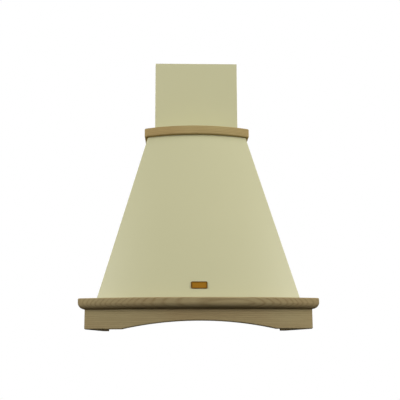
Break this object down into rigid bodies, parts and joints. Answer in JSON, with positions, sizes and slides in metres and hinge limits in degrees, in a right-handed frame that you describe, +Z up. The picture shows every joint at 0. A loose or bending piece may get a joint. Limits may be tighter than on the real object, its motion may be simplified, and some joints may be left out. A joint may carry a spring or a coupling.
{
  "type": "wall-mounted chimney range hood",
  "caption": "Country-style wall hood: bowed pyramid canopy of painted steel on a mitred wooden frame with an arched front, telescopic chimney, filters, lamps, push buttons and blower.",
  "frame": {"origin": "on the wall plane, at the middle of the hood's width, level with the underside of the wooden boards", "axes": "+X to the right seen from the room, +Y into the wall, +Z up along the chimney"},
  "size_m": [0.6, 0.527, 0.776],
  "materials": {
    "cream_paint": "satin cream powder coat",
    "limed_oak": "open-grained, matt oiled",
    "zinc_sheet": "galvanised",
    "tray_steel": "brushed",
    "filter_alloy": "bare extruded rim",
    "filter_mesh": "expanded mesh",
    "chrome_trim": "polished",
    "lamp_glass": "frosted",
    "lamp_alloy": "die-cast fins",
    "black_gloss": "gloss",
    "black_moulding": "fine texture",
    "grey_moulding": "fine texture",
    "ivory_moulding": "smooth",
    "button_metal": "satin",
    "pilot_red": "clear lens",
    "fan_steel": "galvanised",
    "motor_alloy": "die-cast",
    "bright_steel": "zinc-plated",
    "black_rubber": "matt",
    "aged_brass": "brushed, with a raised rim",
    "capacitor_can": "smooth"
  },
  "bodies": {
    "hood": {"front_fascia": "limed_oak", "side_board_left": "limed_oak", "side_board_right": "limed_oak", "cornice_front": "limed_oak", "cornice_left": "limed_oak", "cornice_right": "limed_oak", "corner_blocks": "limed_oak", "band_front": "limed_oak", "band_left": "limed_oak", "band_right": "limed_oak", "canopy_shell": "cream_paint", "back_panel": "zinc_sheet", "top_plate": "cream_paint", "badge_plate": "aged_brass", "chimney_lower": "cream_paint", "base_tray": "tray_steel", "lamp_housings": "lamp_alloy", "lamp_bezels": "chrome_trim", "lamp_lenses": "lamp_glass", "control_bezel": "black_gloss", "control_housing": "grey_moulding", "switch_bank": "ivory_moulding", "pilot_light": "pilot_red", "scroll_left": "black_moulding", "scroll_right": "black_moulding", "motor_body": "motor_alloy", "motor_spider": "motor_alloy", "inlet_guard": "zinc_sheet", "rubber_bushes": "black_rubber", "blower_bracket": "zinc_sheet", "outlet_collar": "black_moulding", "flap_pin": "bright_steel", "capacitor": "capacitor_can", "capacitor_clip": "zinc_sheet", "junction_box": "grey_moulding", "junction_lid": "grey_moulding", "cable_gland": "black_moulding", "frame_screws": "bright_steel", "blower_screws": "bright_steel", "chimney_screws": "bright_steel"},
    "chimney_slider": {"chimney_upper": "cream_paint", "chimney_bracket": "zinc_sheet"},
    "filter_left": {"filter_frame_left": "filter_alloy", "filter_mesh_left": "filter_mesh"},
    "latch_left": {"filter_latch_left": "black_moulding"},
    "filter_right": {"filter_frame_right": "filter_alloy", "filter_mesh_right": "filter_mesh"},
    "latch_right": {"filter_latch_right": "black_moulding"},
    "fan": {"impeller": "fan_steel", "motor_shaft": "bright_steel"},
    "front_flap": {"flap_front": "grey_moulding"},
    "rear_flap": {"flap_rear": "grey_moulding"},
    "stop_button": {"button_stop": "button_metal"},
    "slow_button": {"button_slow": "button_metal"},
    "medium_button": {"button_medium": "button_metal"},
    "fast_button": {"button_fast": "button_metal"},
    "lamps_button": {"button_lamps": "button_metal"}
  },
  "joints": [
    {"name": "chimney_slide", "type": "slide", "parent": "hood", "child": "chimney_slider", "axis": [0, 0, 1], "range_m": [0, 0.18]},
    {"name": "filter_left_hinge", "type": "hinge", "parent": "hood", "child": "filter_left", "pos_m": [-0.1265, -0.044, 0.049], "axis": [1, 0, 0], "range_deg": [0, 75]},
    {"name": "filter_right_hinge", "type": "hinge", "parent": "hood", "child": "filter_right", "pos_m": [0.1265, -0.044, 0.049], "axis": [1, 0, 0], "range_deg": [0, 75]},
    {"name": "latch_left_slide", "type": "slide", "parent": "filter_left", "child": "latch_left", "axis": [0, 1, 0], "range_m": [0, 0.006], "stiffness_N_per_m": 500, "springref_m": -0.003},
    {"name": "latch_right_slide", "type": "slide", "parent": "filter_right", "child": "latch_right", "axis": [0, 1, 0], "range_m": [0, 0.006], "stiffness_N_per_m": 500, "springref_m": -0.003},
    {"name": "fan_spin", "type": "hinge", "parent": "hood", "child": "fan", "pos_m": [0, -0.168, 0.322], "axis": [1, 0, 0], "continuous": true},
    {"name": "front_flap_hinge", "type": "hinge", "parent": "hood", "child": "front_flap", "pos_m": [0, -0.093, 0.53], "axis": [-1, 0, 0], "range_deg": [0, 75]},
    {"name": "rear_flap_hinge", "type": "hinge", "parent": "hood", "child": "rear_flap", "pos_m": [0, -0.093, 0.53], "axis": [1, 0, 0], "range_deg": [0, 75]},
    {"name": "stop_press", "type": "slide", "parent": "hood", "child": "stop_button", "axis": [0, 0, 1], "range_m": [0, 0.003], "stiffness_N_per_m": 400, "springref_m": -0.002},
    {"name": "slow_press", "type": "slide", "parent": "hood", "child": "slow_button", "axis": [0, 0, 1], "range_m": [0, 0.003], "stiffness_N_per_m": 400, "springref_m": -0.002},
    {"name": "medium_press", "type": "slide", "parent": "hood", "child": "medium_button", "axis": [0, 0, 1], "range_m": [0, 0.003], "stiffness_N_per_m": 400, "springref_m": -0.002},
    {"name": "fast_press", "type": "slide", "parent": "hood", "child": "fast_button", "axis": [0, 0, 1], "range_m": [0, 0.003], "stiffness_N_per_m": 400, "springref_m": -0.002},
    {"name": "lamps_press", "type": "slide", "parent": "hood", "child": "lamps_button", "axis": [0, 0, 1], "range_m": [0, 0.003], "stiffness_N_per_m": 400, "springref_m": -0.002}
  ]
}
